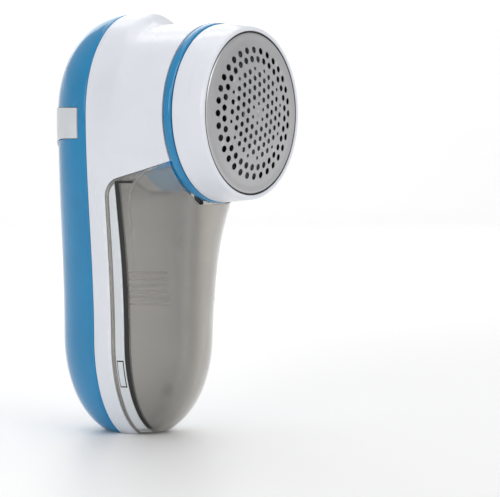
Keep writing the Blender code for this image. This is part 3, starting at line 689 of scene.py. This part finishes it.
def barrel_floor(f0, f1, rows, cols=64):
    """Part of the barrel's lower wall, raised between its borders by the white casing's edge."""
    outer, inner = {}, {}
    for row in range(rows + 1):
        f = f0 + (f1 - f0) * row / rows
        reach = math.acos(min(1.0, (HEAD_Z - edge_z(f) + GAP) / BARREL_R))
        for col in range(cols + 1):
            angle = reach * (2.0 * col / cols - 1.0)
            lift = CHUTE_RISE * (1.0 - smooth_step(0.84, 0.99, abs(2.0 * col / cols - 1.0)))
            radius = BARREL_R - lift
            for grid, r in ((outer, radius), (inner, radius - CHUTE_WALL)):
                grid[row, col] = at(r * math.sin(angle), f, HEAD_Z - r * math.cos(angle))
    return double_grid(outer, inner)


def make_chute():
    """Blue front of the barrel's floor with the lint outlet, and its pale rear part."""
    chute = add_object("chute_floor", barrel_floor(CHUTE_START, CHUTE_END, 20))
    subtract(chute, block(*LINT_OUTLET))
    finish_piece(chute, "chute_blue", "housing", ["lint_chute"], 0.3)
    back = add_object("chute_rear", barrel_floor(CHUTE_REAR, CHUTE_START - 0.05, 16))
    subtract(back, block(*LINT_OUTLET))
    finish_piece(back, "white_plastic", "housing", bevel=0.25)


# ---------------------------------------------------------------- container
def bin_angle(f, z, inset=0.0):
    """Section angle at which the container's surface lies at a depth."""
    return math.acos(min(1.0, (f / front_depth(z, inset)) ** (ROUNDNESS / 2)))


def bin_point(angle, z, inset=0.0):
    """Point of the container's surface at a section angle and a height."""
    half, depth = handle_half_width(z, inset), front_depth(z, inset)
    x = half * math.copysign(abs(math.sin(angle)) ** (2 / ROUNDNESS), angle)
    return x, depth * max(0.0, math.cos(angle)) ** (2 / ROUNDNESS)


def bin_top():
    """Top boundary of the container's left half, as (share of the rear angle, z) points."""
    back = STRIP_DEPTH + GAP
    path = [(back, edge_z(0.0))]
    path += [(f, edge_z(f - GAP) - GAP) for f in corner_depths(back, CORNER_R, 12)]
    start = path[-1][0]
    for i in range(1, 25):
        f = start + (BIN_FRONT - start) * i / 24
        path.append((f, edge_z(f - GAP) - GAP))
    points = [(bin_angle(f, z) / bin_angle(back, z), z) for f, z in path]
    radius = BARREL_R + GAP
    first = math.acos((HEAD_Z - path[-1][1]) / radius)
    lip_angle = bin_angle(BIN_FRONT, LIP_Z)
    lip_x = bin_point(lip_angle, LIP_Z)[0]
    for i in range(1, 29):
        turn = first * (1.0 - i / 28)
        x, z = radius * math.sin(turn), HEAD_Z - radius * math.cos(turn)
        angle = bin_angle(BIN_FRONT, z)
        if x < lip_x:
            z, angle = LIP_Z, lip_angle * x / lip_x
        points.append((angle / bin_angle(back, z), z))
    return points


def make_container():
    """Smoky container: one moulded shell from the foot to under the barrel."""
    top, rows, floor_rows = bin_top(), 64, 5
    back, floor_f = STRIP_DEPTH + GAP, STRIP_DEPTH + 2.0
    outer, inner = {}, {}
    count = len(top) - 1
    for side in (-1, 1):
        for i, (share, top_z) in enumerate(top):
            col = side * (count - i)
            foot_share = 1.0 - i / count
            for grid, inset, base in ((outer, 0.0, GAP), (inner, BIN_WALL, GAP + BIN_WALL)):
                for row in range(rows + 1):
                    v = row / rows
                    z = base + (top_z - base) * (0.2 * v + 0.8 * v * v)
                    part = foot_share + (share - foot_share) * smooth_step(0.1, 1.0, v)
                    angle = side * part * bin_angle(back, z, inset)
                    x, f = bin_point(angle, z, inset)
                    grid[row + floor_rows, col] = at(x, f, z)
                x, f = bin_point(side * foot_share * bin_angle(back, base, inset), base, inset)
                for row in range(floor_rows):
                    reach = row / floor_rows
                    grid[row, col] = at(x * reach, floor_f + (f - floor_f) * reach, base)
    piece("container_shell", double_grid(outer, inner, pole=0), "smoke_plastic", "container",
          ["dust_container"], 0.3)


def flank_band(back, front, top, proud, sunk, rows=90, cols=6, low=1.2):
    """Band on both flanks of the container, between two depths given as functions of height."""
    form = bmesh.new()
    for side in (-1, 1):
        outer, inner = {}, {}
        for row in range(rows + 1):
            v = row / rows
            z = low + (top - low) * (1.0 - (1.0 - v) ** 1.6)
            f0, f1 = back(z), max(front(z), back(z) + 0.02)
            for col in range(cols + 1):
                f = f0 + (f1 - f0) * col / cols
                angle = bin_angle(min(f, front_depth(z) * 0.999), z)
                x = bin_point(angle, z)[0]
                outer[row, col] = at(side * (x + proud), f, z)
                inner[row, col] = at(side * (x - sunk), f, z)
        add_form(form, double_grid(outer, inner))
    return form


def flank_patch(low, high, f0, f1, proud, sunk, slope=0.0, rows=6, cols=24):
    """Raised patch on both flanks of the container."""
    form = bmesh.new()
    for side in (-1, 1):
        outer, inner = {}, {}
        for row in range(rows + 1):
            for col in range(cols + 1):
                f = f0 + (f1 - f0) * col / cols
                z = low + (high - low) * row / rows + slope * (f - f0)
                x = bin_point(bin_angle(f, z), z)[0]
                outer[row, col] = at(side * (x + proud), f, z)
                inner[row, col] = at(side * (x - sunk), f, z)
        add_form(form, double_grid(outer, inner))
    return form


def strip_back(z):
    """Rear edge of the pale strip, which follows the container's rounded corner."""
    start, centre_z = STRIP_DEPTH + GAP + 1.5, CORNER_Z - CORNER_R
    if z <= centre_z:
        return start
    radius = CORNER_R - 1.2
    return start + radius - math.sqrt(max(0.0, radius ** 2 - (z - centre_z) ** 2))


def shade_line_middle(z):
    """Depth of the dark line's middle at a height."""
    return 12.9 + 0.7 * (1.0 - smooth_step(60.0, 95.0, z))


def shade_line_front(z):
    """Front edge of the dark line, which thins towards the foot."""
    return shade_line_middle(z) + SHADE_LINE_HALF - 0.4 * smooth_step(30, 8, z)


def make_container_trim():
    """Pale strip (part inner frame, part painted highlight), dark line and bar of painted shade, grip ribs
    and latch on the container's flanks.
    """
    tip = CORNER_Z - CORNER_R + 5.6
    # Pale strip: partly the container's pale inner frame, partly a painted highlight along its rounded
    # edge
    strip = flank_band(strip_back, lambda z: shade_line_middle(z) - 0.95, tip, 0.06, 1.3)
    piece("container_strip_and_highlight", strip, "trim_plastic", "container", ["container_frame"], 0.12)
    # Dark line of painted shade where the container's gap and inner edge show dark
    line = flank_band(lambda z: shade_line_middle(z) - SHADE_LINE_HALF, shade_line_front, tip + 0.6, 0.08, 1.2, cols=4)
    piece("container_shade_line", line, "seal_rubber", "container", ["container_seal"], 0.12)
    # Dark horizontal bar of painted shade joining the top of the dark line
    bar = flank_patch(tip - 0.35, tip + 0.6, 12.3, 19.4, 0.05, 1.0, slope=0.03)
    piece("container_shade_bar", bar, "seal_rubber", "container", bevel=0.1)
    for i in range(RIB_COUNT):
        low = RIB_LOW_Z + RIB_PITCH * i
        rib = flank_patch(low, low + RIB_HEIGHT, 15.2, 26.5, 0.3, 0.5)
        piece(f"grip_rib_{i + 1}", rib, "smoke_plastic", "container", bevel=0.25)
    # Dark outline of painted shadow in the gap round the latch
    outline = flank_patch(18.8, 28.8, 9.6, 12.2, 0.10, 0.4)
    piece("latch_gap_shade", outline, "seal_rubber", "container", bevel=0.08)
    latch = flank_patch(19.3, 28.3, 9.95, 11.85, 0.32, 0.4)
    piece("latch_tab", latch, "trim_plastic", "container", bevel=0.2)


# ---------------------------------------------------------------- head
HEAD_SEAT = [(28.9, 44.0), (28.9, 30.0), (27.4, 30.0), (27.4, 44.0)]
COLLAR = [(31.7, 40.0), (32.2, 39.7), (32.4, 39.2), (32.4, 37.6), (32.2, 37.1), (31.8, 36.8),
          (29.2, 36.8), (29.2, 40.0)]
COVER = [(29.3, 52.75), (29.5, 52.95), (30.1, 52.95), (30.55, 52.8), (30.8, 52.4), (31.0, 51.5),
         (31.9, 43.5), (32.0, 41.6), (31.95, 40.7), (31.6, 40.3), (29.5, 40.3), (29.5, 52.0), (29.3, 52.0)]
# Profile of a dark ring of painted shade in the gap round the foil's rim
GAP_SHADE_RING = [(28.66, 52.62), (29.24, 52.62), (29.24, 51.95), (28.66, 51.95)]
CLAMP = [(29.2, 51.8), (29.2, 46.9), (25.4, 46.9), (25.4, 47.9), (27.6, 47.9), (27.6, 51.8)]


def foil_depth(radius):
    """Depth of the foil's inner face at a distance from the axis."""
    roll = max(0.0, radius - FOIL_FLAT_R - 1.6)
    dome = FOIL_EDGE + FOIL_DOME * (1.0 - (min(radius, FOIL_FLAT_R) / FOIL_R) ** 2)
    return dome - ROLL_R + math.sqrt(max(0.0, ROLL_R ** 2 - min(roll, ROLL_R) ** 2))


def foil_holes():
    """Places and radii of the foil's holes: a tilted lattice inside two rings."""
    holes = []
    reach = 5
    for i in range(-reach, reach + 1):
        for k in range(-reach, reach + 1):
            norm = i * i + i * k + k * k
            if norm == 0 or norm > 21:
                continue
            radius = SMALL_HOLE_R if norm in (1, 21) else HOLE_R
            x = HOLE_PITCH * (i + k / 2)
            y = HOLE_PITCH * k * math.sqrt(3) / 2
            turned_x = x * math.cos(HOLE_TILT) - y * math.sin(HOLE_TILT)
            turned_y = x * math.sin(HOLE_TILT) + y * math.cos(HOLE_TILT)
            holes.append((turned_x, turned_y, radius))
    for ring_r, radius, shift in ((22.5, 1.2, 0.0), (19.3, 1.15, 0.5)):
        for i in range(32):
            angle = 2 * math.pi * (i + shift) / 32
            holes.append((ring_r * math.cos(angle), ring_r * math.sin(angle), radius))
    return holes


def flat_ring(form, x, y, radius, count):
    """Edges of a closed round outline."""
    points = []
    for i in range(count):
        angle = 2 * math.pi * i / count
        points.append(form.verts.new((x + radius * math.cos(angle), y + radius * math.sin(angle), 0.0)))
    return [form.edges.new((a, b)) for a, b in zip(points, points[1:] + points[:1])]


def make_foil():
    """Domed steel foil with round holes, a smooth margin and a rolled rim."""
    segments = 128
    margin = (25.2, 26.2, 27.1, 27.8, 28.0, 28.2, 28.37, 28.5, 28.57, 28.6)
    pin_r, pin_segments, pin = 1.5, 24, (1.2, 0.8, 0.4)
    form = bmesh.new()
    edges = flat_ring(form, 0.0, 0.0, NET_R, segments)
    for x, y, radius in foil_holes():
        edges += flat_ring(form, x, y, radius, 16)
    edges += flat_ring(form, 0.0, 0.0, pin_r, pin_segments)
    bmesh.ops.triangle_fill(form, use_beauty=True, use_dissolve=False, edges=edges)
    middle = [face for face in form.faces if face.calc_center_median().length < 1.4]
    bmesh.ops.delete(form, geom=middle, context="FACES")
    for radii, count, start_r in ((margin, segments, NET_R), (pin, pin_segments, pin_r)):
        last = [vert for vert in form.verts if abs(vert.co.length - start_r) < 1e-4]
        last.sort(key=lambda vert: math.atan2(vert.co.y, vert.co.x))
        for radius in radii:
            after = [form.verts.new(vert.co * (radius / vert.co.length)) for vert in last]
            for i in range(count):
                j = (i + 1) % count
                form.faces.new((last[i], last[j], after[j], after[i]))
            last = after
        if start_r < NET_R:
            form.faces.new(last)
    for vert in form.verts:
        x, y, _ = vert.co
        r = math.hypot(x, y)
        dimple = 0.35 * (1.0 - smooth_step(0.5, 1.3, r))
        vert.co = at(x, foil_depth(r) - dimple, HEAD_Z + y)
    bmesh.ops.recalc_face_normals(form, faces=form.faces)
    if sum(face.normal.y for face in form.faces) > 0:
        bmesh.ops.reverse_faces(form, faces=form.faces)
    thing = add_object("shaving_foil", form)
    sheet = thing.modifiers.new("sheet", "SOLIDIFY")
    sheet.thickness = FOIL_THICKNESS * MM
    sheet.offset = 1.0
    finish_piece(thing, "foil_steel", "net_cover", ["foil"], 0.05, 50.0, 2)


def make_head():
    """Seat, collar, cover ring, foil, the clamp ring that holds the foil and a dark ring of painted shade
    in the gap round its rim.
    """
    piece("bayonet_seat", turned(HEAD_SEAT), "white_plastic", "housing", ["head_seat"], 0.2, 25.0)
    piece("blue_collar", turned(COLLAR, 160), "blue_plastic", "collar", ["collar_ring"], 0.12, 25.0)
    piece("cover_ring", turned(COVER, 160), "white_plastic", "net_cover", ["net_cover_ring"], 0.12, 25.0)
    piece("foil_clamp_ring", turned(CLAMP), "dark_plastic", "net_cover", ["foil_clamp"], 0.15, 25.0)
    # Dark ring of painted shade in the gap round the foil's rim
    piece("foil_gap_shade", turned(GAP_SHADE_RING), "seal_rubber", "net_cover", bevel=0.08, sharp=25.0)
    make_foil()


def make_spring():
    """Coil spring behind the blades; the real one closes up as they are pushed back, but this mesh keeps
    one fixed shape.
    """
    around, steps = 10, 30 * SPRING_TURNS
    rings = []
    for step in range(steps + 1):
        turn = 2 * math.pi * SPRING_TURNS * step / steps
        depth = SPRING_BACK + SPRING_LENGTH * step / steps
        ring = []
        for k in range(around):
            angle = 2 * math.pi * k / around
            radius = SPRING_R + SPRING_WIRE_R * math.cos(angle)
            f = depth + SPRING_WIRE_R * math.sin(angle)
            ring.append(at(radius * math.cos(turn), f, HEAD_Z + radius * math.sin(turn)))
        rings.append(ring)
    spring = piece("blade_spring", loft(rings), "steel", "cutter", ["cutter_spring"], sharp=60.0)
    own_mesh(spring)


# ---------------------------------------------------------------- switch
def make_switch():
    """Switch plate and its ridged sliding knob."""
    plate = add_object("switch_panel", side_plate(-WALL, 0.4))
    subtract(plate, block(*KNOB_SLOT))
    finish_piece(plate, "white_plastic", "housing", ["switch_plate"], 0.18)
    low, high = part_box("switch_knob")
    low, high = low / MM, high / MM
    f0, f1 = PARTING_Y - high.y, PARTING_Y - low.y
    outer, inner = {}, {}
    rows, cols = 48, 14
    face_x = high.x
    for row in range(rows + 1):
        z = low.z + (high.z - low.z) * row / rows
        ridge = 0.30 * (0.5 + 0.5 * math.cos(2 * math.pi * KNOB_RIDGES * row / rows))
        end = 0.5 * (1.0 - smooth_step(0.0, 0.12, min(row, rows - row) / rows))
        for col in range(cols + 1):
            across = col / cols
            side = 0.35 * (1.0 - smooth_step(0.0, 0.15, min(across, 1.0 - across)))
            f = f0 + (f1 - f0) * across
            outer[row, col] = at(face_x - 0.02 - ridge - end - side, f, z)
            inner[row, col] = at(face_x - 1.75, f, z)
    piece("switch_slider", double_grid(outer, inner), "white_plastic", "switch", ["switch_knob"], 0.12)
    middle = (low.z + high.z) / 2
    piece("switch_stem", block((23.0, face_x - 1.6), (-0.8, 1.4), (middle - 1.3, middle + 1.3)),
          "white_plastic", "switch", bevel=0.2)


# ---------------------------------------------------------------- kept CAD parts
KEPT = {
    "motor_steel": ["motor_can", "battery_tab"],
    "steel": ["motor_screw_left", "motor_screw_right", "motor_shaft", "blade_1", "blade_2", "blade_3",
              "case_screw_upper_left", "case_screw_upper_right",
              "case_screw_lower_left", "case_screw_lower_right"],
    "dark_plastic": ["motor_end_cap", "motor_plate", "battery_holder", "control_chip", "charge_jack",
                     "interlock_switch", "slide_switch", "fan_wheel", "drive_hub", "blade_carrier",
                     "interlock_pin"],
    "copper": ["motor_terminal_left", "motor_terminal_right"],
    "battery_wrap": ["battery_left", "battery_right"],
    "board_green": ["control_board"],
    "wire_red": ["wire_red"],
    "wire_black": ["wire_black"],
}


def dress_kept_parts():
    """Give each CAD part that stays in view its finish."""
    for finish, names in KEPT.items():
        for name in names:
            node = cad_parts[name]
            node.data.materials.clear()
            node.data.materials.append(FINISHES[finish])


# ---------------------------------------------------------------- stage, lights and camera
FLOOR_R, SWEEP_R = 1.6, 0.6      # flat part of the floor and its upward sweep, in metres
CAMERA_AZIMUTH, CAMERA_ELEVATION = math.radians(-54.02), math.radians(2.72)
CAMERA_DISTANCE = 0.808
CAMERA_CENTRE = Vector((0.0, 0.0, 0.077))
AIM_RIGHT, AIM_UP = 0.0307, -0.00866
CAMERA_LENS = 158.1
LIGHT_STRENGTH, SEEN_STRENGTH = 0.60, 1.0      # surroundings as they light and as they are seen


def make_stage():
    """Pale floor that curves up into a backdrop all round."""
    material = bpy.data.materials.new("studio_floor")
    material.use_nodes = True
    tree = material.node_tree
    shader = tree.nodes["Principled BSDF"]
    cloud = ramp_between(tree, noise(tree, 3.0, 4.0), 0.3, 0.7, 0.0, 1.0)
    tree.links.new(blend_colours(tree, cloud, (0.93, 0.93, 0.93), (0.95, 0.95, 0.95)),
                   shader.inputs["Base Color"])
    shader.inputs["Roughness"].default_value = 0.45
    form = bmesh.new()
    rings = []
    flat_rows, sweep_rows, count = 20, 40, 96
    for i in range(flat_rows + sweep_rows + 1):
        angle = math.pi / 2 * max(0.0, i - flat_rows) / sweep_rows
        radius = FLOOR_R + SWEEP_R * math.sin(angle) if i > flat_rows else FLOOR_R * i / flat_rows
        height = SWEEP_R * (1.0 - math.cos(angle))
        rings.append([form.verts.new((radius * math.cos(2 * math.pi * k / count),
                                      radius * math.sin(2 * math.pi * k / count), height))
                      for k in range(count)])
    for low, high in zip(rings, rings[1:]):
        for k in range(count):
            form.faces.new((low[k], low[(k + 1) % count], high[(k + 1) % count], high[k]))
    bmesh.ops.remove_doubles(form, verts=form.verts, dist=1e-5)
    bmesh.ops.recalc_face_normals(form, faces=form.faces)
    floor = add_object("studio_floor", form)
    floor.data.materials.append(material)


def area_light(name, place, aim, size, power):
    """Square soft light that faces a point."""
    data = bpy.data.lights.new(name, "AREA")
    data.shape = "SQUARE"
    data.size = size
    data.energy = power
    lamp = bpy.data.objects.new(name, data)
    lamp.location = place
    lamp.rotation_euler = (Vector(aim) - Vector(place)).to_track_quat("-Z", "Y").to_euler()
    bpy.context.scene.collection.objects.link(lamp)


def make_lights():
    """Bright even surroundings with a few broad soft lights."""
    world = bpy.data.worlds.new("studio")
    world.use_nodes = True
    tree = world.node_tree
    background = tree.nodes["Background"]
    background.inputs["Color"].default_value = (1.0, 1.0, 1.0, 1.0)
    path = tree.nodes.new("ShaderNodeLightPath")
    seen = path.outputs["Is Camera Ray"]
    strength = ramp_between(tree, seen, 0.0, 1.0, LIGHT_STRENGTH, SEEN_STRENGTH)
    tree.links.new(strength, background.inputs["Strength"])
    bpy.context.scene.world = world
    middle = (0.0, 0.0, 0.08)
    area_light("key_front", (-0.25, -1.15, 0.75), middle, 0.7, 3.5)
    area_light("side_left", (-1.2, -0.15, 0.45), middle, 0.6, 2.5)
    area_light("top_soft", (0.1, 0.1, 1.3), middle, 0.9, 2.6)
    area_light("back_right", (0.8, 0.9, 0.7), middle, 0.7, 2.0)
    area_light("backdrop", (0.95, 0.7, 1.5), (1.7, 1.25, 0.1), 1.2, 11.0)


def make_camera():
    """Long-lens camera to the right front side, with the shaver left of the middle."""
    data = bpy.data.cameras.new("camera")
    data.lens = CAMERA_LENS
    data.sensor_width = 36.0
    data.clip_start, data.clip_end = 0.05, 30.0
    camera = bpy.data.objects.new("camera", data)
    a, e = CAMERA_AZIMUTH, CAMERA_ELEVATION
    back = Vector((math.sin(a) * math.cos(e), -math.cos(a) * math.cos(e), math.sin(e)))
    right = Vector((math.cos(a), math.sin(a), 0.0))
    camera.location = CAMERA_CENTRE + back * CAMERA_DISTANCE
    aim = CAMERA_CENTRE + right * AIM_RIGHT + Vector((0.0, 0.0, AIM_UP))
    camera.rotation_euler = (aim - camera.location).to_track_quat("-Z", "Y").to_euler()
    bpy.context.scene.collection.objects.link(camera)
    bpy.context.scene.camera = camera


make_rear_shell()
make_back_trim()
make_front_housing()
make_partition()
make_chute()
make_container()
make_container_trim()
make_head()
make_spring()
make_switch()
dress_kept_parts()
make_stage()
make_lights()
make_camera()
bpy.context.scene.view_settings.view_transform = "Standard"
